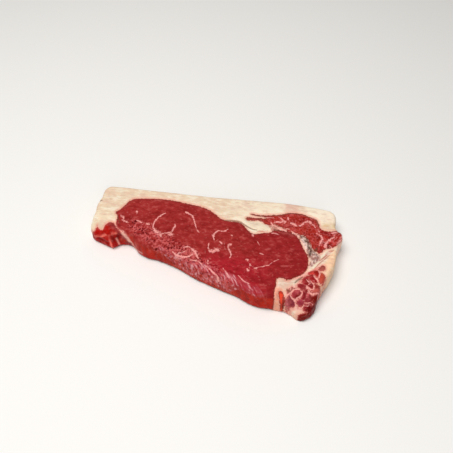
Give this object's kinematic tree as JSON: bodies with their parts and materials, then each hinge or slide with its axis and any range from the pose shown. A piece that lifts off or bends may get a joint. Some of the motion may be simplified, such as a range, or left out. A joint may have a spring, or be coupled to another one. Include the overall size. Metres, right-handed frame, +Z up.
{
  "type": "raw sirloin steak",
  "caption": "Raw boneless sirloin steak lying flat: marbled lean eye, a straight cap of fat along one long side, a seamed cap muscle and a lacy tail.",
  "frame": {"origin": "middle of the footprint's bounding box, on the lower cut face that the steak rests on", "axes": "+X along the fat cap towards the thick tail end, +Y towards the fat cap, +Z up through the thickness"},
  "size_m": [0.2162, 0.1032, 0.0227],
  "materials": {
    "raw_beef": "moist raw beef: deep red lean with pale marbling, creamy waxy fat along one edge, greyish silverskin between the muscles"
  },
  "bodies": {
    "root": {"steak": "raw_beef"}
  },
  "joints": []
}
